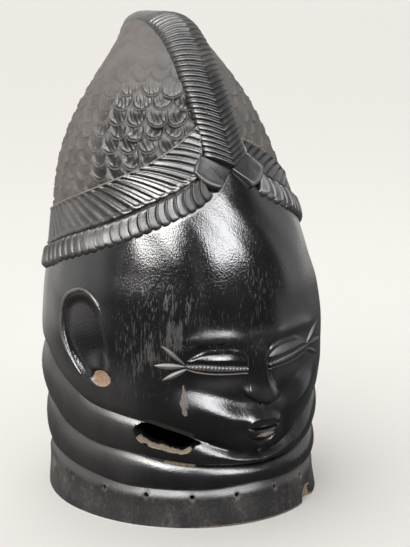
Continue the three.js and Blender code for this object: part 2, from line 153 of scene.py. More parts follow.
BREAK = (
    (-52, 84.5), (-49.5, 86.4), (-46, 86), (-42, 83.4), (-38, 80.5), (-34, 78), (-30, 74.6),
    (-26.5, 71.4), (-25.5, 69.6), (-28, 68.6), (-30, 66.4), (-32, 63.6), (-34.5, 62.8), (-37, 63.8),
    (-39.5, 64.6), (-42, 66.6), (-45, 67.2), (-48, 69.4), (-50.4, 71.6), (-52, 75.5), (-52.8, 80),
)


def soft(x, start, end):
    t = np.clip((x - start) / (end - start), 0, 1)
    return t * t * (3 - 2 * t)


def fade(x, start, end):
    return 1 - soft(x, start, end)


def hump(x, centre, width):
    return np.exp(-(((x - centre) / width) ** 2))


def arch(t):
    """A half wave: 0 at both ends of 0 to 1 and 1 in its middle."""
    return np.sin(math.pi * t)


def noise(a, b, seed):
    """A fixed uneven value for whole numbers a and b, between 0 and 1."""
    return np.modf(np.abs(np.sin(a * 12.9898 + b * 78.233 + seed * 37.719) * 43758.5453))[0]


def level_root(z):
    return np.sqrt(np.clip(1 - np.asarray(z, float) / TOP, 0, 1))


def on_form(turn, z):
    q = level_root(z)
    front, back = front_reach(q), back_reach(q)
    angle = np.radians(turn)
    x = half_width(q) * np.sin(angle)
    y = (back - front) / 2 - (back + front) / 2 * np.cos(angle)
    return np.stack([x, y, z + 0 * x], -1)


def skin(turn, z, lift):
    """Points raised off the form along its own normal."""
    turn, z, lift = np.broadcast_arrays(turn, z, lift)
    level = np.minimum(z, TOP - 1)
    along = on_form(turn + 0.5, level) - on_form(turn - 0.5, level)
    up = on_form(turn, level + 0.5) - on_form(turn, level - 0.5)
    normal = np.cross(along, up)
    normal /= np.linalg.norm(normal, axis=-1)[..., None]
    return on_form(turn, z) + normal * lift[..., None]


def inside_form(p):
    q = level_root(p[:, 2])
    front, back = front_reach(q), back_reach(q)
    across = p[:, 0] / np.maximum(half_width(q), 1e-6)
    along = (p[:, 1] - (back - front) / 2) / np.maximum((back + front) / 2, 1e-6)
    return (across**2 + along**2 < 1) & (p[:, 2] < TOP)


def band_top(turn):
    return np.where(turn < 0, BAND_TOP_RIGHT(-turn), BAND_TOP_LEFT(turn))


def bedded(turn, z, lift, depth=BEDDING):
    """The carved points of a slab and the points where it is buried in the wood."""
    return skin(turn, z, lift), skin(turn, z, -depth)


# Making meshes


def read(bm):
    return np.array([v.co for v in bm.verts], float)


def write(bm, points):
    for vert, point in zip(bm.verts, points):
        vert.co = point


def sheet(columns, rows, at):
    """A closed slab from a grid: at gives the carved and the buried point of each u and v."""
    bm = bmesh.new()
    bmesh.ops.create_grid(bm, x_segments=columns, y_segments=rows, size=0.5)
    made = bmesh.ops.extrude_face_region(bm, geom=bm.faces[:], use_keep_orig=True)
    raised = [part for part in made["geom"] if isinstance(part, bmesh.types.BMVert)]
    bmesh.ops.translate(bm, verts=raised, vec=(0, 0, 1))
    place = read(bm)
    upper = place[:, 2] > 0.5
    carved, buried = at(place[:, 0] + 0.5, place[:, 1] + 0.5)
    write(bm, np.where(upper[:, None], carved, buried))
    face_outward(bm)
    return bm


def grow(bm, rim, step):
    """Draw a closed row of edges out by a step along z; gives back the new row."""
    made = bmesh.ops.extrude_edge_only(bm, edges=rim)["geom"]
    drawn = {part for part in made if isinstance(part, bmesh.types.BMVert)}
    bmesh.ops.translate(bm, verts=list(drawn), vec=(0, 0, step))
    edges = (part for part in made if isinstance(part, bmesh.types.BMEdge))
    return [edge for edge in edges if set(edge.verts) <= drawn]


def cap(columns, rows, at, heart):
    """A finely carved grid, closed by a skirt that runs into the wood and meets at its heart."""
    bm = bmesh.new()
    bmesh.ops.create_grid(bm, x_segments=columns, y_segments=rows, size=0.5)
    rim = [edge for edge in bm.edges if edge.is_boundary]
    for _ in range(2):
        rim = grow(bm, rim, -1)
    place = read(bm)
    depth = -place[:, 2]
    carved, buried = at(place[:, 0] + 0.5, place[:, 1] + 0.5)
    points = np.where((depth < 0.5)[:, None], carved, buried)
    points[depth > 1.5] = heart
    write(bm, points)
    merge_doubles(bm)
    face_outward(bm)
    return bm


def joined(parts):
    whole = bmesh.new()
    for bm in parts:
        mesh = bpy.data.meshes.new("carved_part")
        bm.to_mesh(mesh)
        bm.free()
        whole.from_mesh(mesh)
        bpy.data.meshes.remove(mesh)
    return whole


def place_object(name, data):
    made = bpy.data.objects.new(name, data)
    bpy.context.scene.collection.objects.link(made)
    return made


def merge_doubles(bm):
    bmesh.ops.remove_doubles(bm, verts=bm.verts, dist=0.001)


def face_outward(bm):
    bmesh.ops.recalc_face_normals(bm, faces=bm.faces)


def make_piece(name, bm, material):
    points = read(bm)
    write(bm, (points + (0, FORM_SHIFT, 0)) * MM)
    mesh = bpy.data.meshes.new(name)
    bm.to_mesh(mesh)
    bm.free()
    mesh.materials.append(material)
    mesh.shade_smooth()
    return place_object(name, mesh)


# The face and its features, as lifts off the form

BROW = Line((0, 148), (6, 151), (14, 156), (22, 157), (30, 154), (38, 149))
CHEEK_CREST = Line((0, 80), (8, 82.5), (16, 88), (30, 98), (45, 106), (60, 110))
NOSE_WIDTH = Line(
    (95, 3.6), (99, 4.6), (104, 5.0), (110, 4.5), (118, 3.6), (130, 3.1), (145, 3.4), (160, 5),
)
NOSE_MIDDLE = Line((95, 4.2), (104, 3.4), (112, 2.5), (122, 1.7), (150, 1.0))
NOSE_AHEAD = Line(
    (95, 0), (97.5, 4.8), (100, 8.3), (103, 9.5), (108, 9.0), (114, 7.9), (124, 6.6), (136, 5.8),
    (146, 4.4), (156, 1.8), (164, 0),
)
LIP_AHEAD = Line(
    (64, 0), (67.6, -2.6), (70, 1.2), (73.4, 3.2), (76.6, 2.2), (78.2, -2.8), (79.8, 1.6), (82, 2.9),
    (84, 2.8), (87, 1.6), (90.5, 0.6), (94, 0),
)
EYE_ARCH = Line(
    (4, 139.5), (8.6, 145.4), (14.7, 148.3), (20, 148.3), (24.4, 145.4), (29, 141), (34, 136),
)


def face_lift(turn, z):
    """Sunk eyes under a soft brow, full cheeks that run into the mouth, nose, lips and chin."""
    s = np.abs(turn)
    over_cheek = z - CHEEK_CREST(s)
    sides = fade(s, 24, 44)
    hollow = soft(over_cheek, 1, 23) * fade(z, 146, 157) * sides
    cheek = np.where(over_cheek > 0, fade(over_cheek, 1, 21), np.exp(-((over_cheek / 15) ** 2)))
    lift = -5.6 * hollow + 2.7 * cheek * fade(s, 20, 46) + 1.1 * hump(s, 0, 11) * hump(z, 78, 14)
    lift = lift + 2.2 * hump(z, BROW(s), 5.5) * fade(s, 24, 38) * (0.25 + 0.75 * soft(s, 2, 10))
    lift = lift - 2.2 * hump(turn, 1, 7.5) * hump(z, 76, 9)
    lift = lift + 1.3 * hump(turn, -3, 9) * fade(z, 87, 99) * soft(z, 74, 84)
    eye = soft(EYE_ARCH(s) + 0.6 - z, 0, 3.2) * soft(z, 121, 130)
    eye = eye * soft(s, 3.5, 7) * fade(s, 27, 33)
    lift = lift + 1.5 * eye
    lift = lift - 2.0 * hump(np.abs(turn - 1), 10.6, 2.4) * hump(z, 78, 7)
    lift = lift - 1.0 * hump(s, 8, 5) * hump(z, 65, 5) + 0.9 * hump(s, 0, 7) * hump(z, 60, 5)
    return lift + nose_and_mouth(turn, z)


def nose_and_mouth(turn, z):
    from_ridge = turn - NOSE_MIDDLE(z)
    across = np.clip(from_ridge / NOSE_WIDTH(z), -1.5, 1.5) / 1.5
    nose = NOSE_AHEAD(z) * np.cos(across * math.pi / 2) ** 1.2
    nose = nose + (3.3 * hump(turn, -4.6, 3.5) + 1.6 * hump(turn, 8.2, 2.6)) * hump(z, 106, 8)
    base = 97.3 + 0.085 * (turn - 4.4) ** 2
    nose = nose * soft(z - base, -0.6, 1.9)
    from_middle = np.abs(turn - 1) / 7.8
    narrow = np.sqrt(np.maximum(1 - np.minimum(from_middle, 0.98) ** 2, 0.05))
    height = 78.4 + (z - 78.4 - 2.2 * from_middle**2) / (0.35 + 0.65 * narrow)
    lips = LIP_AHEAD(height) * np.sqrt(np.maximum(1 - from_middle**2, 0))
    return nose + lips


def in_ear(turn, z):
    """How far inside the ear's outline a point lies: 1 in the middle, 0 on the outline."""

    def from_middle(turn, z):
        across, up = (turn - EAR_MIDDLE[0]) / 14, (z - EAR_MIDDLE[1]) / 39
        return np.arctan2(up, across), np.hypot(up, across)

    angle, size = from_middle(*ear_loop(96, 1.0).T)
    order = np.argsort(angle)
    a, r = from_middle(np.abs(turn), z)
    return 1 - r / np.interp(a, angle[order], size[order], period=2 * math.pi)


def ear_loop(count, share):
    """The ear's outline as a smooth closed loop, drawn in towards its middle by a share."""
    pairs = np.array(EAR, float)
    n = len(pairs)
    t = np.arange(count) * n / count
    i = t.astype(int)
    f = (t - i)[:, None]
    a, b, c, d = (pairs[(i + k) % n] for k in (-1, 0, 1, 2))
    second, third = 2 * a - 5 * b + 4 * c - d, 3 * b - a - 3 * c + d
    loop = 0.5 * (2 * b + (c - a) * f + second * f**2 + third * f**3)
    return EAR_MIDDLE + (loop - EAR_MIDDLE) * (share, 1 - (1 - share) * 0.6)


def carved_unevenness(turn, z):
    """The slight facets that an adze and a knife leave under the lacquer."""
    wave = np.sin(turn * 0.19 + z * 0.031) + np.sin(turn * 0.083 - z * 0.067 + 1.3)
    return 0.22 * wave + 0.12 * np.sin(turn * 0.41 + z * 0.11 + np.sin(z * 0.05) * 2)


def skull_lift(t, turn, z):
    crease = JAW_CREASE(np.abs(turn))
    lift = 1 - (1 + GROOVE) * np.exp(-(((z - crease) / 4.5) ** 1.5))
    lift = lift + face_lift(turn, z) * soft(z - crease, 0, 10)
    inside = in_ear(turn, z)
    bowl = soft(inside, 0.02, 0.3) * (1 - 0.25 * soft(z, 150, 190))
    lobe = hump(np.abs(turn), 66, 5.5) * hump(z, 128, 10)
    broken = hump(turn, -65, 4.4) * hump(z, 121.5, 6.5)
    lift = lift - 3.8 * bowl + 3.2 * lobe * soft(inside, -0.15, 0.1)
    lift = lift - (2.2 + 0.8 * np.sin(turn * 3.1) * np.sin(z * 1.3)) * soft(broken, 0.3, 0.7)
    return lift + carved_unevenness(turn, z)


def rim_lift(t, turn, z):
    lift = -GROOVE * soft(t, 0.82, 1) + 0.3 * hump(t, 0.8, 0.12)
    chip = hump(turn, 31.8, 3.6) * fade(z, 7, np.maximum(14 - 0.5 * np.abs(turn - 32), 9))
    return lift - 5 * np.minimum(chip * 1.6, 1) + 0.5 * carved_unevenness(turn, z)


def fold_lift(t, turn, z):
    bulge = arch(np.clip(t, 0, 1)) ** 0.62
    return -GROOVE + (FOLD + GROOVE) * bulge + 0.6 * carved_unevenness(turn, z)


def front_fold_lift(t, turn, z):
    """The upper fold, thin under the chin, where a second fine line runs along it."""
    lift = fold_lift(t, turn, z)
    front = fade(np.abs(turn), 14, 38)
    return lift - 1.6 * hump(t, 0.3, 0.09) * front - 2.6 * front * soft(t, 0.2, 0.8)


def eye_level(a):
    return JAW_CREASE(a) + (HAIRLINE(a) + 3 - JAW_CREASE(a)) * 0.53


def scalp_foot(a):
    return HAIRLINE(a) + 3


def head_solid():
    """Rim, neck folds, face, skull and the hollow, spun as one meridian and then carved."""
    groups = [
        (3, lambda a: CAVITY_TOP, lambda a: CAVITY_TOP - 14, None),
        (9, lambda a: CAVITY_TOP - 14, lambda a: CAVITY_SPRING, None),
        (10, lambda a: CAVITY_SPRING, lambda a: 0, None),
        (2, lambda a: 0, lambda a: 0, "underside"),
        (11, lambda a: 0, RIM_GROOVE, rim_lift),
        (12, RIM_GROOVE, FOLD_GROOVE, fold_lift),
        (12, FOLD_GROOVE, JAW_CREASE, front_fold_lift),
        (100, JAW_CREASE, eye_level, skull_lift),
        (26, eye_level, scalp_foot, skull_lift),
        (14, scalp_foot, lambda a: TOP, "scalp"),
    ]
    levels = sum(group[0] for group in groups)
    bm = bmesh.new()
    chain = [bm.verts.new((1, 0, level)) for level in range(levels + 1)]
    edges = [bm.edges.new(pair) for pair in zip(chain, chain[1:])]
    bmesh.ops.spin(
        bm, geom=chain + edges, cent=(0, 0, 0), axis=(0, 0, 1), angle=2 * math.pi,
        steps=340, use_merge=True,
    )
    place = read(bm)
    around = np.degrees(np.arctan2(place[:, 1], place[:, 0]))
    warp = Line(
        (-180, -180), (-150, -105), (-118, -58), (-98, -38), (62, 34), (95, 58), (125, 100), (180, 180),
    )
    turn = warp(around)
    level = place[:, 2]
    side = np.abs(turn)
    points = np.zeros_like(place)
    start = 0
    for count, bottom, top, lift in groups:
        here = (level > start - 0.5) & (level < start + count + 0.5)
        t = (level[here] - start) / count
        a = side[here]
        z = bottom(a) + (top(a) - bottom(a)) * t
        if lift is None:
            over = np.clip((z - CAVITY_SPRING) / (CAVITY_TOP - CAVITY_SPRING), 0, 1)
            wall = skin(turn[here], np.minimum(z, CAVITY_SPRING), -WALL)
            shrink = np.sqrt(np.maximum(1 - over**2, 0))
            points[here] = np.stack([wall[:, 0] * shrink, wall[:, 1] * shrink, z], -1)
        elif lift == "underside":
            points[here] = skin(turn[here], 0 * z, -WALL + (WALL - 0.8) * t)
            points[here, 2] = 0
        elif lift == "scalp":
            root = level_root(bottom(a)) * (1 - t)
            z = TOP * (1 - root**2) - 0.6 * t
            points[here] = skin(turn[here], np.minimum(z, TOP - 0.4), -4.6 * np.minimum(1, t * 14))
        else:
            points[here] = skin(turn[here], z, lift(t, turn[here], z))
        start += count
    top_ring = level > levels - 0.5
    points[top_ring] = (0, APEX_SHIFT, TOP - 0.5)
    bottom_ring = level < 0.5
    points[bottom_ring] = (0, 0, CAVITY_TOP)
    points[:, 2] = np.maximum(points[:, 2], 0)
    points[:, 1] = np.maximum(points[:, 1], low.y / MM - FORM_SHIFT + 0.15)
    write(bm, points)
    merge_doubles(bm)
    face_outward(bm)
    return bm


def plug(outlines, lifts):
    """A cutter through the wall, with an outline of turns and heights at each of its lifts."""
    bm = bmesh.new()
    n = len(outlines[0])
    bmesh.ops.create_circle(bm, cap_ends=False, segments=n, radius=1)
    rim = bm.edges[:]
    for _ in lifts[1:]:
        rim = grow(bm, rim, 1)
    bmesh.ops.holes_fill(bm, edges=[edge for edge in bm.edges if edge.is_boundary], sides=0)
    place = read(bm)
    around = np.arctan2(place[:, 1], place[:, 0]) / (2 * math.pi) * n
    index = np.round(around - around[0]).astype(int) % n
    level = np.round(place[:, 2]).astype(int)
    pairs = np.array(outlines)[level, index]
    write(bm, skin(pairs[:, 0], pairs[:, 1], np.array(lifts)[level]))
    face_outward(bm)
    return bm


def rim_hole(turn, radius, inner, outer):
    angles = np.arange(14) * 2 * math.pi / 14
    up = HOLE_HEIGHT + radius * np.sin(angles)
    outline = np.stack([turn + radius * np.cos(angles) / DEGREE, up], -1)
    return plug([outline, outline], (inner, outer))


def ragged_break():
    """The break through the wall, smooth above and splintered along its lower edge."""
    pairs = np.array(BREAK)
    n = len(pairs)
    place = np.arange(n * 5) / 5
    i = place.astype(int)
    smooth = pairs[i] + (pairs[(i + 1) % n] - pairs[i]) * (place - i)[:, None]
    low_side = soft(-smooth[:, 1] + 81.5 + (smooth[:, 0] + 42) * -0.85, 0, 3)
    lifts = (-WALL - 9, -11.0, -8.0, -5.5, -3.2, -1.0, 1.2, 9.0)
    outlines = []
    for level in range(len(lifts)):
        jag = noise(np.arange(n * 5), 0 * place + level, 29) - 0.5
        wave = np.sin(place * 1.7 + level * 1.1) * 0.5
        outline = smooth.copy()
        outline[:, 1] += (1.1 * jag + 0.8 * wave) * low_side * (0 < level < len(lifts) - 1)
        outlines.append(outline)
    return plug(outlines, lifts)


def cut_holes(piece):
    turns = [(FIRST_HOLE + k * 360 / RIM_HOLES + 180) % 360 - 180 for k in range(RIM_HOLES)]
    bores = [rim_hole(turn, HOLE_RADIUS, -WALL - 5, 5) for turn in turns]
    mouths = [rim_hole(turn, MOUTH_RADIUS, -0.9, 4) for turn in turns]
    for group in ([ragged_break(), *bores], mouths):
        tool = make_piece("hole_cutters", joined(group), bpy.data.materials[0])
        cut = piece.modifiers.new("holes", "BOOLEAN")
        cut.operation, cut.solver, cut.object = "DIFFERENCE", "EXACT", tool
        graph = bpy.context.evaluated_depsgraph_get()
        holed = bpy.data.meshes.new_from_object(piece.evaluated_get(graph), depsgraph=graph)
        piece.modifiers.clear()
        piece.data = holed
        bpy.data.objects.remove(tool)
    piece.data.name = piece.name
    piece.data.set_sharp_from_angle(angle=math.radians(55))


# The coiffure: comb, braids, hatched bands and scale fields, each a slab bedded in the wood


def comb_path():
    q = np.linspace(-level_root(284.4), level_root(203.5), 700)
    reach = np.where(q < 0, -front_reach(-q), back_reach(q))
    path = np.stack([reach, TOP * (1 - q * q)], -1)
    step = np.linalg.norm(np.diff(path, axis=0), axis=1)
    return path, np.concatenate([[0], np.cumsum(step)])


COMB_PATH, COMB_PLACE = comb_path()
COMB_LENGTH = COMB_PLACE[-1]
COMB_APEX = COMB_PLACE[np.argmax(COMB_PATH[:, 0] > APEX_SHIFT)]


def on_comb_path(s):
    s = np.clip(s, 0, COMB_LENGTH)
    return np.stack([np.interp(s, COMB_PLACE, COMB_PATH[:, k]) for k in (0, 1)], -1)


def comb_points(x, s, lift):
    """Points raised off the form: x mm beside the comb's middle line and s mm along it."""
    s = np.clip(s, 0, COMB_LENGTH)
    y, z = on_comb_path(s).T
    run = on_comb_path(s + 2) - on_comb_path(s - 2)
    run /= np.linalg.norm(run, axis=1)[:, None]
    normal = np.stack([0 * s, -run[:, 1], run[:, 0]], -1)
    start = np.stack([x, y, z], -1)
    out, inn = np.full(len(s), -3.0), np.full(len(s), 45.0)
    for _ in range(24):
        mid = (out + inn) / 2
        hit = inside_form(start - normal * mid[:, None])
        inn, out = np.where(hit, mid, inn), np.where(hit, out, mid)
    return start + normal * (lift - inn)[:, None]


def comb_fade(s):
    return 0.16 + 0.84 * soft(np.abs(s - COMB_APEX) / 45, 0, 1)


def comb():
    front_ribs, back_ribs = 34, 28
    front_rows, back_rows = front_ribs * 10, back_ribs * 7

    def at(u, v):
        side = np.abs(u * 2 - 1)
        row = np.round(v * (front_rows + back_rows))
        on_front = row <= front_rows
        rib = np.where(on_front, row / 10, front_ribs + (row - front_rows) / 7)
        share = np.where(on_front, row / front_rows, (row - front_rows) / back_rows)
        along = np.where(on_front, COMB_APEX * share, COMB_APEX + (COMB_LENGTH - COMB_APEX) * share)
        skew = np.where(on_front, 12 * (1 - share) ** 1.2 + 1.5, -6 * share)
        s = along + skew * side
        phase = rib % 1
        cut = hump(phase, 0, 0.13) + hump(phase, 1, 0.13)
        crest = 4.2 + 4.7 * (1 - side) ** 0.85 + 1.1 * arch(side)
        crest = crest - 1.6 * soft(side, 0.86, 1)
        wear = comb_fade(s)
        uneven = 0.5 * (noise(np.floor(rib), np.sign(u - 0.5), 3) - 0.5)
        groove = (1.25 * (0.45 - phase) - 1.9 * cut) * (1 - 0.25 * hump(side, 0, 0.08))
        lift = (crest + uneven) * wear + groove * wear * (0.3 + 0.7 * soft(wear, 0.2, 0.6))
        x = (u * 2 - 1) * COMB_HALF_WIDTH
        return comb_points(x, s, lift), comb_points(x, s, 0 * lift - BEDDING)

    return sheet(20, front_rows + back_rows, at)


PLAQUE = np.array([(-0.5, 286.0), (14.9, 297.0), (20.4, 283.2), (10, 270.0)])


def braid(side):
    """Short lapped elements, each with a raised round edge towards the back."""
    elements = 38

    def at(u, v):
        place = u * elements
        phase = place % 1
        index = np.floor(place)
        curl = 1 - (2 * v - 1) ** 2
        turn = 14.4 + 166 * u + (2.0 * (curl - 0.6)) * np.minimum(1, 9 * (1 - u))
        foot = HAIRLINE(turn)
        size = 0.8 + 0.35 * noise(index, side + 0 * index, 7)
        step = soft(phase, 0.02, 0.12) * (0.12 + 0.75 * phase) * fade(phase, 0.88, 0.97)
        across = 1 - np.abs(2 * v - 1) ** 7
        rise = BRAID_HEIGHT * v - 1.5 * arch(phase) * (1 - v) ** 3 * size
        gap = hump(phase, 0, 0.06) + hump(phase, 1, 0.06)
        lift = 0.6 + (1.4 + 4.0 * step * size - 1.2 * gap) * across
        lift = lift + 1.3 * hump(phase, 0.82, 0.05) * across * size
        under = PLAQUE[3] + (PLAQUE[2] - PLAQUE[3]) * np.clip((turn - 10) / 10.4, 0, 1.3)[:, None]
        lift = np.where((turn < 21) & (foot + rise > under[:, 1] + 1), 1.2, lift)
        return bedded(side * turn, foot + rise, lift)

    return sheet(elements * 18, 12, at)


def plaque(side):
    """The plain plaque under the comb's end, its outer edge bowed and slightly raised."""

    def at(u, v):
        first = PLAQUE[0] + (PLAQUE[1] - PLAQUE[0]) * u[:, None]
        last = PLAQUE[3] + (PLAQUE[2] - PLAQUE[3]) * u[:, None]
        pair = first + (last - first) * v[:, None]
        bow = arch(u) * v**2
        turn = pair[:, 0] + 1.1 * bow + 0.8 * arch(v) * u**2
        z = pair[:, 1] - 1.9 * bow
        lip = np.maximum(hump(v, 0.93, 0.07), hump(u, 0.95, 0.06) * soft(v, 0.1, 0.4))
        middle = arch(np.clip(u, 0, 1)) * arch(np.clip(v, 0, 1))
        edge = np.minimum(1 - u, 1 - v)
        lift = 3.9 + 0.8 * lip - 0.8 * middle + 3.0 * (v - 0.5) - 1.2 * fade(edge, 0, 0.05)
        return bedded(side * turn, z, lift)

    return sheet(18, 18, at)


def band_low(turn):
    return HAIRLINE(np.abs(turn)) + BRAID_HEIGHT - 0.4


BAND_FOOT = Line((0, 0), (0.066, 0.05), (0.17, 0.115), (0.3, 0.25), (0.5, 0.47), (0.75, 0.74), (1, 1))


def band_paths(side):
    """The band's lower and upper borders as turns and heights along their lengths."""
    down = np.linspace(0, 1, 40)[:-1]
    tip = float(band_top(np.array(side * 12.6)))
    corner = 297.0 if side < 0 else 294.0
    onward = np.linspace(12.9, 180.2, 500)
    bend = corner - (corner - band_low(18.5)) * soft(onward, 12.9, 18.5)
    foot = np.where(onward < 18.5, bend, band_low(onward))
    low_turn = np.concatenate([12.4 + 0.5 * down, onward])
    low_z = np.concatenate([tip + (corner - tip) * down, foot])
    top_turn = np.linspace(12.4, 180.2, 500)
    return (low_turn, low_z), (top_turn, band_top(side * top_turn))


def along_path(path, side, share):
    turn, z = path
    points = on_form(side * turn, z)
    place = np.concatenate([[0], np.cumsum(np.linalg.norm(np.diff(points, axis=0), axis=1))])
    place /= place[-1]
    return np.interp(share, place, turn), np.interp(share, place, z)


def hatched_band(side):
    ribs = 37 if side < 0 else 34
    low_path, top_path = band_paths(side)

    def at(u, v):
        phase = (u * ribs) % 1
        low_turn, low_z = along_path(low_path, side, BAND_FOOT(u))
        top_turn, top_z = along_path(top_path, side, u)
        turn = side * (low_turn + (top_turn - low_turn) * v)
        z = low_z + (top_z - low_z) * v
        bow = 4.0 * arch(v) * arch(np.minimum(1, u * 2.2)) * soft(u, 0, 0.1)
        z = z + bow * 0.5
        near = np.minimum(phase, 1 - phase)
        wide = 0.05 + (0.17 if side < 0 else 0.1) * soft(u, 0.1, 0.34)
        cut = fade(near, wide, wide + 0.12)
        border = np.minimum(v, 1 - v)
        edge = soft(border, 0.0, 0.05)
        fillet = hump(border, 0.035, 0.03)
        deep = 2.0 - 0.7 * soft(u, 0.12, 0.4)
        lift = 1.2 + 1.7 * edge - deep * cut * soft(border, 0.05, 0.11) + 1.0 * fillet
        lift = lift + 0.5 * (noise(np.floor(u * ribs + 0.5), 0 * u, 41) - 0.5)
        return bedded(turn, z, lift)

    return sheet(ribs * 10, 18, at)


SCALE_WIDTH = 16.6
SCALE_PITCH = 12.4


def scale_relief(around, up, row_radius):
    """Lapped scales with rounded lower edges, each scooped out steeply above its raised rim."""
    best = np.full(len(up), -1e9)
    relief = np.zeros(len(up))
    row_here = np.floor(up / SCALE_PITCH)
    for step in (2, 1, 0, -1):
        row = row_here + step
        width = SCALE_WIDTH * (0.88 + 0.28 * noise(row, 0 * row, 11))
        offset = noise(row, 0 * row, 13) * 0.3
        a = around * row_radius(row * SCALE_PITCH) / width + 0.5 * (row % 2) + offset
        index = np.floor(a)
        share = a - index
        drop = 4.6 * (noise(index, row, 19) * (1 - share) + noise(index + 1, row, 19) * share - 0.5)
        sway = 0.2 * (noise(index, row, 17) - 0.5) * arch(share)
        across = np.clip((share - 0.5 - sway) * 2, -1, 1)
        foot = row * SCALE_PITCH + drop - 9.0 * np.sqrt(np.maximum(1.12 - across**2, 0.02))
        depth = up - foot
        size = 0.7 + 0.6 * noise(index, row, 23)
        lean = 0.9 * (noise(index, row, 27) - 0.5) * across
        rim = 1.4 * hump(depth, 0.8, 0.8) + 0.5 * hump(np.abs(across), 1.0, 0.14)
        hollow = soft(depth, 0.9, 3.9) * fade(depth, 4.0, 15) * (1 - across**2) ** 0.7 * (1 + lean)
        value = rim - 3.1 * hollow * size
        better = (depth > 0) & (row > best)
        relief = np.where(better, value, relief)
        best = np.where(better, row, best)
    return relief


def scale_wear(turn, z):
    """How crisp the scales are: sharp beside the comb, rubbed down at the back and the crown."""
    back = 0.42 * soft(-turn, 52, 88)
    left = 0.45 * (turn > 0)
    crown = soft(z, 335, 375)
    return np.maximum((1 - back - left) * (1 - 0.9 * crown), 0.08)


def scale_field(side, columns, rows):
    path_z = np.linspace(200, TOP - 1, 400)
    reach = (front_reach(level_root(path_z)) + back_reach(level_root(path_z))) / 2
    mean = np.stack([reach, path_z], -1)
    climb = np.concatenate([[0], np.cumsum(np.linalg.norm(np.diff(mean, axis=0), axis=1))])
    spread = Line((0, 0), (0.46, 0.27), (1, 1)) if side < 0 else Line((0, 0), (0.4, 0.28), (1, 1))

    def row_radius(up):
        return (half_width(level_root(np.interp(up, climb, path_z))) + 8) * 0.95

    def beside_comb(z):
        width = half_width(level_root(z))
        return np.degrees(np.arcsin(np.minimum(17 / np.maximum(width, 17.8), 0.95)))

    def at(u, v):
        share = spread(u)
        base = 0 * share + 290
        for _ in range(12):
            edge = beside_comb(base)
            base = band_top(side * (edge + (180 - 2 * edge) * share)) - 1.2
        root = level_root(base) + (level_root(TOP - 4.4) - level_root(base)) * v
        z = TOP * (1 - root**2)
        edge = beside_comb(z)
        turn = side * (edge + (180 - 2 * edge) * share)
        up = np.interp(z, path_z, climb)
        relief = scale_relief(np.radians(np.abs(turn)), up, row_radius)
        chips = 0.3 * np.sin(turn * 1.9 + np.sin(z * 0.31) * 2) * np.sin(z * 0.43 + turn * 0.37)
        lift = 0.7 + (relief + chips) * scale_wear(turn, z)
        return bedded(turn, z, lift)

    return cap(columns, rows, at, (side * 16, 20, 318))


# Eyes, the marks beside them, and the ears' rims

LID_TOP = Line(
    (5.4, 136), (8.6, 141.2), (13.2, 143.6), (19.2, 144.1), (23.6, 143.7), (27.3, 142.2), (30.4, 139.6),
)
LID_FOOT = Line((5.4, 135), (13.3, 137), (19.3, 138.2), (25.1, 139), (30.4, 139.2))
CORD_TOP = Line((5.4, 130.6), (13.4, 133.2), (19.3, 134.8), (25.1, 136.1), (31, 136.2))
CORD_FOOT = Line((5.4, 127.3), (16.4, 128.7), (22.3, 130.2), (26.9, 131.8), (31, 134.2))
LOWER_LINE = Line((5.4, 125.2), (13.4, 126), (19.4, 127.1), (25.2, 129.1), (31, 133))


def eye_parts(side):
    """The lid over its slit, the corded strip, the fine line below and three leaf-shaped marks."""

    def strip(foot, top, u, v):
        turn = 5.4 + 25.2 * u
        return turn, foot(turn) + (top(turn) - foot(turn)) * v

    def on_face(turn, z, lift):
        return bedded(side * turn, z, face_lift(turn, z) + 1 + lift, 13)

    def lid(u, v):
        turn, z = strip(LID_FOOT, LID_TOP, u, v)
        return on_face(turn, z, -0.6 + 3.6 * arch(u) ** 0.5 * (1 - v**1.7))

    def cord(u, v):
        turn, z = strip(CORD_FOOT, CORD_TOP, u, v)
        twist = (u * 17 + v * 0.9) % 1
        ridge = arch(twist) ** 0.8
        return on_face(turn, z, 0.1 + (1.3 + 1.1 * ridge) * arch(v) ** 0.5 - 0.5 * soft(v, 0.6, 1))

    def line(u, v):
        turn, z = strip(lambda t: LOWER_LINE(t) - 1, lambda t: LOWER_LINE(t) + 0.9, u, v)
        return on_face(turn, z, -0.2 + 1.7 * arch(v) ** 0.7)

    parts = [sheet(44, 12, lid), sheet(150, 8, cord), sheet(40, 6, line)]
    marks = ((40, 153, 31, 136.2, 1.9), (43, 136.4, 30.6, 134.6, 2.6), (39.9, 124.2, 29.6, 133, 2.2))
    for tip_turn, tip_z, root_turn, root_z, width in marks:
        parts.append(sheet(24, 8, leaf_mark(side, (tip_turn, tip_z), (root_turn, root_z), width)))
    return parts


def leaf_mark(side, tip, root, half):
    """A leaf-shaped mark, ridged along its middle, narrow where it leaves the eye."""
    run = np.array(((tip[0] - root[0]) * DEGREE, tip[1] - root[1]))
    run /= np.linalg.norm(run)

    def at(u, v):
        width = half * arch(u**1.15) ** 0.75 + 0.3 * (1 - u)
        out = (v - 0.5) * 2 * width
        turn = root[0] + (tip[0] - root[0]) * u - out * run[1] / DEGREE
        z = root[1] + (tip[1] - root[1]) * u + out * run[0]
        ridge = 1 - np.abs(2 * v - 1)
        hatch = 0.22 * np.sin((u * 9 + ridge * 1.2) * 2 * math.pi) * ridge
        rise = (2.0 * ridge**0.8 + hatch) * arch(np.clip(u, 0.06, 0.97)) ** 0.5
        lift = face_lift(turn, z) + 1 + rise
        return bedded(side * turn, z, lift, 9)

    return at


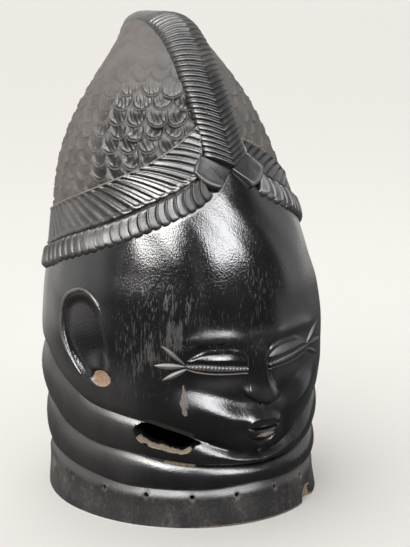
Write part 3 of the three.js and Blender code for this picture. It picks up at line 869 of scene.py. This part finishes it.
def ear_rim(side):
    """The raised rim of the ear, strong at the top and back and dying out at the front."""

    def at(u, v):
        count = 96
        index = np.round(u * count).astype(int) % count
        outer, inner = ear_loop(count, 1.05)[index], ear_loop(count, 0.87)[index]
        pair = outer + (inner - outer) * v[:, None]
        turn = side * pair[:, 0]
        front = soft(pair[:, 0], 71, 62) * soft(pair[:, 1], 120, 130)
        height = 2.8 - 2.4 * front - 1.2 * soft(pair[:, 1], 150, 125) * (pair[:, 0] > 70)
        at_lobe = 1.3 * hump(pair[:, 0], 65.5, 6) * hump(pair[:, 1], 118, 11)
        height = height * (1 - np.minimum(1, at_lobe))
        sunk = 5 * hump(pair[:, 0], 65, 5) * hump(pair[:, 1], 121, 8)
        lift = 0.1 + height * arch(v) ** 0.7 - sunk
        return bedded(turn, pair[:, 1], lift, 8)

    bm = sheet(96, 8, at)
    merge_doubles(bm)
    return bm


# Materials


def new_group(name, inputs, outputs):
    tree = bpy.data.node_groups.new(name, "ShaderNodeTree")
    for label, kind, value in inputs:
        socket = tree.interface.new_socket(label, in_out="INPUT", socket_type=kind)
        socket.default_value = value
    for label, kind in outputs:
        tree.interface.new_socket(label, in_out="OUTPUT", socket_type=kind)
    return tree, tree.nodes.new("NodeGroupInput"), tree.nodes.new("NodeGroupOutput")


def node(tree, kind, inputs=(), **settings):
    """A new node with its settings, each input linked or set to a plain value."""
    made = tree.nodes.new("ShaderNode" + kind)
    for key, value in settings.items():
        setattr(made, key, value)
    for socket, value in dict(inputs).items():
        if isinstance(value, bpy.types.NodeSocket):
            tree.links.new(value, made.inputs[socket])
        else:
            made.inputs[socket].default_value = value
    return made


def noise_map(tree, scale, stretch=(1, 1, 1), detail=4.0, rough=0.55):
    place = node(tree, "TexCoord").outputs["Object"]
    mapped = node(tree, "Mapping", {"Vector": place, "Scale": stretch}).outputs["Vector"]
    inputs = {"Vector": mapped, "Scale": scale, "Detail": detail, "Roughness": rough}
    return node(tree, "TexNoise", inputs).outputs["Fac"]


def ranged(tree, value, start, end, low_out=0.0, high_out=1.0):
    inputs = dict(enumerate((value, start, end, low_out, high_out)))
    return node(tree, "MapRange", inputs, interpolation_type="SMOOTHSTEP").outputs["Result"]


def maths(tree, operation, a, b=0.0):
    return node(tree, "Math", {0: a, 1: b}, operation=operation).outputs[0]


def times(tree, a, b):
    return maths(tree, "MULTIPLY", a, b)


def plus(tree, a, b):
    return maths(tree, "ADD", a, b)


def blend(tree, factor, a, b):
    return node(tree, "Mix", {0: factor, 6: a, 7: b}, data_type="RGBA").outputs[2]


def aligned(tree, way, direction):
    made = node(tree, "VectorMath", {0: way, 1: direction}, operation="DOT_PRODUCT")
    return made.outputs["Value"]


def upright_flecks():
    """Short upright scratches and open grain that catch the light on worn lacquer."""
    tree, given, put = new_group(
        "upright_flecks", [("Amount", "NodeSocketFloat", 0.5)], [("Mask", "NodeSocketFloat")]
    )
    fine = noise_map(tree, 100, (9, 9, 1.3), 2.0, 0.6)
    tall = noise_map(tree, 100, (6, 6, 0.5), 2.0, 0.5)
    patch = ranged(tree, noise_map(tree, 19, (1.6, 1.6, 0.6), 3.0), 0.35, 0.65, -0.06, 0.05)
    level = plus(tree, times(tree, given.outputs["Amount"], 0.2), patch)
    strokes = maths(tree, "MAXIMUM", fine, times(tree, tall, 0.96))
    mask = ranged(tree, plus(tree, strokes, level), 0.73, 0.92, 0.0, 0.6)
    tree.links.new(mask, put.inputs["Mask"])
    return tree


def settled_dust():
    """Grey-brown dust that lies in the cuts and over the dull parts of the carving, and pale painted
    highlight on raised edges.
    """
    tree, given, put = new_group(
        "settled_dust", [("Cover", "NodeSocketFloat", 0.5)],
        [("Mask", "NodeSocketFloat"), ("Colour", "NodeSocketColor")],
    )
    cloud = noise_map(tree, 34, (1, 1, 1), 6.0, 0.7)
    grit = noise_map(tree, 420, (1, 1, 1), 3.0, 0.7)
    level = plus(tree, times(tree, cloud, 0.8), times(tree, grit, 0.6))
    level = plus(tree, level, given.outputs["Cover"])
    mask = ranged(tree, level, 0.85, 1.45)
    brown, grey = (0.1, 0.088, 0.082, 1), (0.15, 0.133, 0.122, 1)
    tone = blend(tree, ranged(tree, cloud, 0.35, 0.65), brown, grey)
    tree.links.new(mask, put.inputs["Mask"])
    tree.links.new(tone, put.inputs["Colour"])
    return tree


def bare_wood():
    """Wood with the lacquer gone: grey-tan where rubbed, pale where torn, orange where fresh."""
    tree, given, put = new_group(
        "bare_wood", [("Worn", "NodeSocketFloat", 0.0), ("Fresh", "NodeSocketFloat", 0.0)],
        [("Mask", "NodeSocketFloat"), ("Colour", "NodeSocketColor")],
    )
    fibre = noise_map(tree, 90, (5, 5, 1.2), 5.0, 0.7)
    grit = noise_map(tree, 600, (1, 1, 1), 3.0, 0.7)
    ragged = noise_map(tree, 260, (1, 1, 0.5), 4.0, 0.7)
    edge = plus(tree, given.outputs["Worn"], times(tree, ragged, 0.5))
    tree.links.new(ranged(tree, edge, 0.68, 0.8), put.inputs["Mask"])
    ramp = node(tree, "ValToRGB", {"Fac": given.outputs["Fresh"]})
    stops = ramp.color_ramp.elements
    stops[0].color, stops[1].color = (0.2, 0.165, 0.13, 1), (0.5, 0.22, 0.085, 1)
    stops.new(0.5).color = (0.56, 0.43, 0.28, 1)
    fine = ranged(tree, grit, 0.3, 0.6, 0.6, 1.0)
    shade = times(tree, ranged(tree, fibre, 0.3, 0.7, 0.5, 1.0), fine)
    tone = blend(tree, shade, (0.05, 0.03, 0.02, 1), ramp.outputs["Color"])
    tree.links.new(tone, put.inputs["Colour"])
    return tree


FLECKS, DUST_AND_SHEEN, BARE = upright_flecks(), settled_dust(), bare_wood()
PAINTS = ("dust", "bare", "fresh", "rub", "dull")


def use_group(tree, group, inputs):
    return node(tree, "Group", inputs, node_tree=group).outputs


def lacquer(name, dark, warm, shine, fleck_amount, ior):
    """Lacquered wood with flecks, grey dulling, dust and bare patches where the mesh's paints ask for
    them; the grey and the dust colour also serve as painted reflection and painted highlight in places.
    """
    material = bpy.data.materials.new(name)
    material.use_nodes = True
    tree = material.node_tree
    shader = tree.nodes["Principled BSDF"]
    dust_and_sheen_paint, bare_paint, fresh_paint, rub_paint, dull_and_sheen_paint = (
        node(tree, "Attribute", attribute_name=paint).outputs["Fac"] for paint in PAINTS
    )
    grain = noise_map(tree, 14, (3.2, 3.2, 0.5), 6.0, 0.6)
    ground = blend(tree, ranged(tree, grain, 0.4, 0.75), dark, warm)
    # The dull paint blends the colour towards a lighter grey: dulled lacquer, and on the cheeks also a
    # painted reflection.
    haze_and_sheen = times(tree, dull_and_sheen_paint, ranged(tree, grain, 0.25, 0.7, 0.6, 1.0))
    ground = blend(tree, haze_and_sheen, ground, (0.034, 0.032, 0.031, 1))
    flecks = use_group(tree, FLECKS, {"Amount": times(tree, rub_paint, fleck_amount)})
    colour = blend(tree, flecks["Mask"], ground, (0.12, 0.115, 0.11, 1))
    dust = use_group(tree, DUST_AND_SHEEN, {"Cover": dust_and_sheen_paint})
    colour = blend(tree, dust["Mask"], colour, dust["Colour"])
    bare = use_group(tree, BARE, {"Worn": bare_paint, "Fresh": fresh_paint})
    colour = blend(tree, bare["Mask"], colour, bare["Colour"])
    smear = noise_map(tree, 22, (2.2, 2.2, 0.45), 5.0, 0.65)
    rough = ranged(tree, smear, 0.3, 0.75, shine, shine + 0.1)
    rough = plus(tree, rough, times(tree, flecks["Mask"], 0.25))
    rough = plus(tree, rough, times(tree, dull_and_sheen_paint, 0.3))
    rough = plus(tree, rough, times(tree, dust["Mask"], 0.28))
    rough = maths(tree, "MAXIMUM", rough, times(tree, bare["Mask"], 0.85))
    tree.links.new(colour, shader.inputs["Base Color"])
    tree.links.new(rough, shader.inputs["Roughness"])
    pores = noise_map(tree, 330, (2.4, 2.4, 0.35), 4.0, 0.6)
    pits = noise_map(tree, 760, (1, 1, 0.8), 2.0, 0.5)
    height = plus(tree, times(tree, pores, 0.35), times(tree, grain, 0.5))
    height = plus(tree, height, times(tree, pits, 0.8))
    height = maths(tree, "SUBTRACT", height, times(tree, bare["Mask"], 1.2))
    bump = node(tree, "Bump", {"Height": height, "Strength": 0.4, "Distance": 0.0005})
    tree.links.new(bump.outputs["Normal"], shader.inputs["Normal"])
    shader.inputs["IOR"].default_value = ior
    return material


# Where dust lies and where the lacquer is gone, with some painted highlight, reflection and shade,
# painted on each mesh's points


def outline_distance(turn, z, outline):
    """Distance in mm to a closed outline on the skin, negative inside it."""
    pairs = np.array(outline, float) * (DEGREE, 1)
    point = np.stack([turn * DEGREE, z], -1)
    best = np.full(len(z), 1e9)
    inside = np.zeros(len(z), bool)
    for a, b in zip(pairs, np.roll(pairs, -1, axis=0)):
        run = b - a
        t = np.clip(((point - a) @ run) / (run @ run), 0, 1)
        best = np.minimum(best, np.linalg.norm(point - a - t[:, None] * run, axis=1))
        over = (a[1] > point[:, 1]) != (b[1] > point[:, 1])
        crossing = a[0] + (point[:, 1] - a[1]) / np.where(b[1] == a[1], 1e-9, b[1] - a[1]) * run[0]
        inside ^= over & (point[:, 0] < crossing)
    return np.where(inside, -best, best)


def place_on_form(piece):
    """Turn, height and lift of each point of a piece."""
    co = np.zeros(len(piece.data.vertices) * 3)
    piece.data.vertices.foreach_get("co", co)
    p = co.reshape(-1, 3) / MM - (0, FORM_SHIFT, 0)
    q = level_root(p[:, 2])
    front, back = front_reach(q), back_reach(q)
    across = p[:, 0] / np.maximum(half_width(q), 1e-3)
    along = -(p[:, 1] - (back - front) / 2) / np.maximum((back + front) / 2, 1e-3)
    turn = np.degrees(np.arctan2(across, along))
    lift = (np.hypot(across, along) - 1) * np.maximum(half_width(q), 1)
    return p, turn, p[:, 2], lift


# Rubbed smears: strength, turn and its half widths, height and its half widths
SMEARS = (
    (1, -34.6, (2.4, 3.6), 159, (9, 16)),
    (1, -38.4, (0.7, 1.3), 186, (4, 8)),
    (0.8, -35, (0.4, 0.9), 180, (4, 9)),
    (0.9, -29.6, (0.7, 1.4), 179, (5, 10)),
    (0.9, -17.4, (0.6, 1.5), 92, (6, 12)),
    (0.5, -43.5, (0.6, 1.4), 150, (8, 18)),
)


def head_paint(p, turn, z, lift):
    a = np.abs(turn)
    cuts = hump(z, JAW_CREASE(a), 2.2) + hump(z, FOLD_GROOVE(a), 2.2) + hump(z, RIM_GROOVE(a), 2.6)
    dust = 0.1 * np.minimum(cuts, 1) + 0.22 * soft(a, 82, 125) + 0.2 * hump(z, HAIRLINE(a), 3) - 0.08
    dust = dust + 0.3 * hump(a, 67, 7) * hump(z, 136, 11) * (turn < 0)
    smears = np.maximum.reduce([
        share * fade(np.abs(turn - way), *across) * fade(np.abs(z - height), *along)
        for share, way, across, height, along in SMEARS
    ])
    hole = outline_distance(turn, z, BREAK)
    lower = fade(z - np.minimum(79.5 - 0.85 * (turn + 42), 80 + 1.5 * (turn + 50)), -4, 0)
    bare = 0.66 * fade(hole, 0.1, 1.3) * lower * (turn < -27.5) * (lift > -3)
    # Inside the break the bare wood fades out with depth, so the deeper wall keeps the black lacquer
    # colour: painted shade.
    bare = np.maximum(bare, 0.64 * (hole < 2.2) * lower * (lift < -0.6) * fade(-lift, 6, 11))
    fresh = 0.5 * (hole < 4)
    chip = hump(turn, 31.8, 4.2) * fade(z, 11, 15.5) * (lift < 0.6) * (lift > -9)
    lobe = fade(np.hypot((turn + 65) / 4.4, (z - 121.5) / 6.6), 0.8, 1.15)
    half = Line((92, 0.4), (97, 1.2), (106, 1.8), (115, 0.9), (122, 0.4))(z)
    scrape = fade(np.abs(turn + 31.6) - half, -0.3, 0.3)
    scrape = scrape * soft(z, 93, 95.5) * fade(z, 119, 122)
    score = hump(z, 54.6 - 0.24 * (turn + 42), 1.7)
    score = score * soft(turn, -43.5, -41) * fade(turn, -30, -26.5)
    lips = hump(turn, 1, 6.5) * (hump(z, 73.5, 3.2) + 0.7 * hump(z, 81, 1.8))
    wings = 0.62 * hump(turn, -6.2, 2.2) * hump(z, 104, 6)
    marks = [1.1 * chip, 1.2 * lobe, 0.55 * scrape, 0.85 * score, 0.74 * lips, 0.5 * wings]
    bare = np.maximum.reduce([bare, *marks])
    fresh = fresh + 0.75 * chip + 0.8 * lobe + 0.45 * score + 0.12 * lips
    face = fade(a, 44, 66) * soft(z, 122, 142) * fade(z, 196, 240)
    face = face + 0.4 * soft(z, 92, 108) * (a < 60)
    left = hump(turn, -48, 9) * soft(z, 100, 115) * fade(z, 180, 200)
    rub = 0.05 + 0.55 * face + 0.35 * left + 0.9 * smears
    beside = (turn - FIRST_HOLE + HOLE_STEP / 2) % HOLE_STEP - HOLE_STEP / 2
    from_hole = np.hypot(beside * DEGREE, z - HOLE_HEIGHT)
    dust = dust + 0.6 * fade(from_hole, 2.6, 3.8) * (lift > -4)
    worn_foot = 0.85 * hump(z, 0, 2.2) * soft(turn, -50, -20) * fade(turn, 50, 60) * (lift > -6)
    bare = np.maximum(bare, worn_foot)
    below = fade(z - JAW_CREASE(a), -1, 4) * (0.22 + 0.5 * fade(z - RIM_GROOVE(a), -1, 2))
    tip = hump(turn, 1, 8) * (hump(z, 104, 9) + hump(z, 77, 8))
    # On the cheeks the dull paint both roughens the lacquer and lightens its colour to grey; the
    # lighter colour is a painted reflection of the pale floor.
    cheek = soft(a, 40, 58) * fade(z, 112, 150)
    brow = 0.6 * hump(z, BROW(a) + 2, 8) * fade(a, 20, 34)
    veil = 0.9 * soft(turn, 4, 12) * soft(z, 106, 124) * fade(z, 165, 205)
    veil = np.maximum(veil, 0.8 * hump(turn, -17, 10) * hump(z, 118, 7))
    veil = np.maximum(veil, 0.6 * hump(turn, -30, 6) * hump(z, 106, 9))
    sides = 0.35 * np.maximum(soft(a, 95, 130), soft(turn, 30, 55))
    dull = np.maximum.reduce([below, brow, veil, 0.5 * tip, 0.85 * cheek, sides])
    bowl = soft(in_ear(turn, z), 0, 0.15)
    rim = (0.2 + 0.1 * (turn > 15)) * fade(z, 26, 34)
    dust = dust - 0.3 * bowl + rim + 0.12 * fade(z - JAW_CREASE(a), -4, 0)
    return dust, bare, fresh, rub, dull * (1 - 0.9 * bowl)


def feature_paint(p, turn, z, lift):
    a = np.abs(turn)
    ear = a > 52
    eye = ~ear & (z < CORD_TOP(a) + 1.2) | (a > 30.2) & ~ear
    dust = np.where(eye, 0.56, np.where(ear, 0.5 * soft(lift, 1.0, 2.4), 0.12))
    dust = dust - 0.36 * eye * (turn > 0) + 0.12 * (turn > 0) * ~eye
    dull = np.where(turn > 0, 1.0, 0.3 * (eye | ear))
    return dust, 0.36 * eye * (turn < 0), 0.2 + 0 * z, 0.2 + 0 * z, dull


def coiffure_paint(p, turn, z, lift):
    a = np.abs(turn)
    in_comb = np.abs(p[:, 0]) < COMB_HALF_WIDTH + 0.3
    field = soft(z - band_top(turn), -0.5, 1) * ~in_comb
    wear = scale_wear(turn, z)
    proud = soft(lift, -0.6, 1.6)
    scales = 0.06 + 0.66 * fade(wear, 0.5, 0.95) + 0.62 * proud * wear
    comb_dust = 0.12 + 0.2 * soft(z, 322, 395) - 0.34 * fade(lift, 1.5, 5.5)
    band = 0.1 + 0.3 * soft(a, 45, 90) + 0.06 * (turn > 0)
    dust = np.where(in_comb, comb_dust, field * scales + (1 - field) * band)
    line = hump(z - band_top(turn), -0.4, 1.0) * ~in_comb
    under = hump(z - HAIRLINE(a) - BRAID_HEIGHT, 0.6, 0.9) * (a > 21) * (turn < 0) * ~in_comb
    bare = 0.72 * np.maximum(line, under)
    in_plaque = (a < 20.5) & (z < 298) & (z < 262 + 2.2 * a) & ~(in_comb & (z > 292)) & (lift > 2)
    beads = (z < HAIRLINE(a) + BRAID_HEIGHT - 0.5) & ~in_comb & (a > 12)
    # Pale dust colour on the highest edges of the braid plates and on the plaque's raised lip is a
    # painted highlight of the window light; the share that grows towards the back is dust.
    edge_highlight_and_dust = 0.02 + 0.5 * soft(lift, 4.4, 6.2) + 0.2 * soft(a, 45, 90)
    dust = np.where(beads | in_plaque, edge_highlight_and_dust, dust)
    element = np.round((a - 14.4) / 4.37)
    dull = 0.25 * in_plaque + beads * (0.15 + 0.5 * noise(element, 0 * a, 5)) + 0.2 * (turn > 0)
    dull = dull + 0.2 * field + 0.35 * in_comb * soft(z, 335, 380)
    return dust, bare, 0.22 + 0 * z, 0.3 + 0 * z, dull


def paint(piece, painter):
    """Keep how dusty, bare, fresh, rubbed and dull each point is as attributes of the mesh; dust and
    dull also carry painted highlight and reflection.
    """
    for name, values in zip(PAINTS, painter(*place_on_form(piece))):
        layer = piece.data.attributes.new(name, "FLOAT", "POINT")
        layer.data.foreach_set("value", np.asarray(values, np.float32))


def finish_pieces():
    black, brown = (0.0045, 0.0045, 0.0058, 1), (0.022, 0.018, 0.015, 1)
    face_finish = lacquer("black_lacquered_wood", black, (0.0095, 0.0085, 0.0085, 1), 0.13, 1.0, 1.62)
    hair_finish = lacquer("dusty_lacquered_wood", (0.009, 0.0082, 0.0078, 1), brown, 0.26, 0.4, 1.66)
    scale_finish = lacquer("dusty_scale_wood", (0.009, 0.0084, 0.0082, 1), brown, 0.34, 0.2, 1.5)
    head = make_piece("mask_head", head_solid(), face_finish)
    cut_holes(head)
    eyes_and_ears = [ear_rim(-1), ear_rim(1)] + eye_parts(-1) + eye_parts(1)
    bands = [shape(side) for side in (-1, 1) for shape in (hatched_band, braid, plaque)]
    pieces = [
        (head, head_paint),
        (make_piece("mask_features", joined(eyes_and_ears), face_finish), feature_paint),
        (make_piece("mask_comb", comb(), hair_finish), coiffure_paint),
        (make_piece("mask_bands", joined(bands), hair_finish), coiffure_paint),
        (make_piece("mask_scales_right", scale_field(-1, 300, 318), scale_finish), coiffure_paint),
        (make_piece("mask_scales_left", scale_field(1, 200, 240), scale_finish), coiffure_paint),
    ]
    for piece, painter in pieces:
        paint(piece, painter)
        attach(piece, "root")
        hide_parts("mask")
        print(piece.name, "triangles", sum(len(face.vertices) - 2 for face in piece.data.polygons))


finish_pieces()


# Floor, light and camera


def floor():
    """A pale floor that looks darker in the lacquer's reflections towards the front."""
    bm = bmesh.new()
    bmesh.ops.create_grid(bm, x_segments=2, y_segments=2, size=40)
    mesh = bpy.data.meshes.new("pale_floor")
    bm.to_mesh(mesh)
    bm.free()
    piece = place_object("pale_floor", mesh)
    material = bpy.data.materials.new("pale_floor")
    material.use_nodes = True
    tree = material.node_tree
    shader = tree.nodes["Principled BSDF"]
    pale = (0.82, 0.805, 0.78, 1)
    place = node(tree, "TexCoord").outputs["Object"]
    way = aligned(tree, place, (-0.2, 0.98, 0))
    reflected = blend(tree, ranged(tree, way, 0.3, 0.95), (0.085, 0.085, 0.09, 1), pale)
    glossy = node(tree, "LightPath").outputs["Is Glossy Ray"]
    tree.links.new(blend(tree, glossy, pale, reflected), shader.inputs["Base Color"])
    shader.inputs["Roughness"].default_value = 0.9
    shader.inputs["Specular IOR Level"].default_value = 0.1
    mesh.materials.append(material)


def window_light(name, azimuth, elevation, distance, width, tall, power, colour, matt_share):
    """A soft rectangular light, strong in the lacquer's reflections and weaker on dull surfaces."""
    target = Vector((0, 0, 0.2))
    a, e = math.radians(azimuth), math.radians(elevation)
    way = Vector((math.sin(a) * math.cos(e), -math.cos(a) * math.cos(e), math.sin(e)))
    for kind, share in (("gloss", 1.0), ("matt", matt_share)):
        lamp = bpy.data.lights.new(name + "_" + kind, "AREA")
        lamp.shape, lamp.size, lamp.size_y = "RECTANGLE", width, tall
        lamp.energy, lamp.color = power * share, colour
        holder = place_object(name + "_" + kind, lamp)
        holder.location = target + way * distance
        holder.rotation_mode = "QUATERNION"
        holder.rotation_quaternion = way.to_track_quat("Z", "Y")
        holder.visible_diffuse = kind == "matt"
        holder.visible_glossy = kind == "gloss"


def room_light():
    """Soft light from overhead and from the back left, with a dark room behind the camera."""
    world = bpy.data.worlds.new("room")
    bpy.context.scene.world = world
    world.use_nodes = True
    tree = world.node_tree
    sky = tree.nodes["Background"]
    way = node(tree, "TexCoord").outputs["Generated"]
    facing = aligned(tree, way, (-0.5, 0.866, 0.75))
    behind = aligned(tree, way, (-0.2, 0.98, 0.35))
    glossy = node(tree, "LightPath").outputs["Is Glossy Ray"]
    shades = {0: glossy, 2: ranged(tree, facing, -0.3, 0.55), 3: ranged(tree, behind, 0.25, 0.85)}
    shade = node(tree, "Mix", shades).outputs[0]
    tone = blend(tree, shade, (0.1, 0.1, 0.105, 1), (1.0, 0.985, 0.96, 1))
    tree.links.new(tone, sky.inputs["Color"])
    sky.inputs["Strength"].default_value = 1.35


def camera():
    """The photograph's viewpoint: from the mask's right, a little above its brow."""
    focal, width, tall, pitch = 1409.0, 410.0, 547.0, math.radians(11.8)
    distance, height, middle_x = 1200.0, 437.0, 182.0
    a = math.radians(-34)
    right = Vector((math.cos(a), math.sin(a), 0))
    level = Vector((-math.sin(a), math.cos(a), 0))
    forward = level * math.cos(pitch) - Vector((0, 0, math.sin(pitch)))
    spot = -level * distance + Vector((0, 0, height))
    depth = (-spot).dot(forward)
    spot -= right * ((middle_x - width / 2) / focal * depth)
    data = bpy.data.cameras.new("camera")
    data.sensor_fit = "VERTICAL"
    data.sensor_height = 24.0
    data.lens = 24.0 * focal / tall
    data.sensor_width = 24.0 * width / tall
    holder = place_object("camera", data)
    holder.location = (spot + Vector((0, FORM_SHIFT, 0))) * MM
    holder.rotation_mode = "QUATERNION"
    holder.rotation_quaternion = (-forward).to_track_quat("Z", "Y")
    data.clip_start, data.clip_end = 0.05, 200
    bpy.context.scene.camera = holder
    bpy.context.scene.view_settings.view_transform = "Standard"


floor()
room_light()
window_light("left_window", -60, 41, 1.7, 1.0, 0.92, 64, (1.0, 0.985, 0.96), 0.13)
window_light("right_window", 9, 33.5, 1.7, 0.72, 0.9, 37, (0.97, 0.98, 1.0), 0.15)
window_light("upper_window", -20, 60, 1.7, 1.2, 0.5, 24, (1.0, 0.985, 0.97), 0.2)
window_light("side_window", 92, 14, 1.7, 1.7, 1.3, 5, (1.0, 0.99, 0.97), 0.1)
camera()
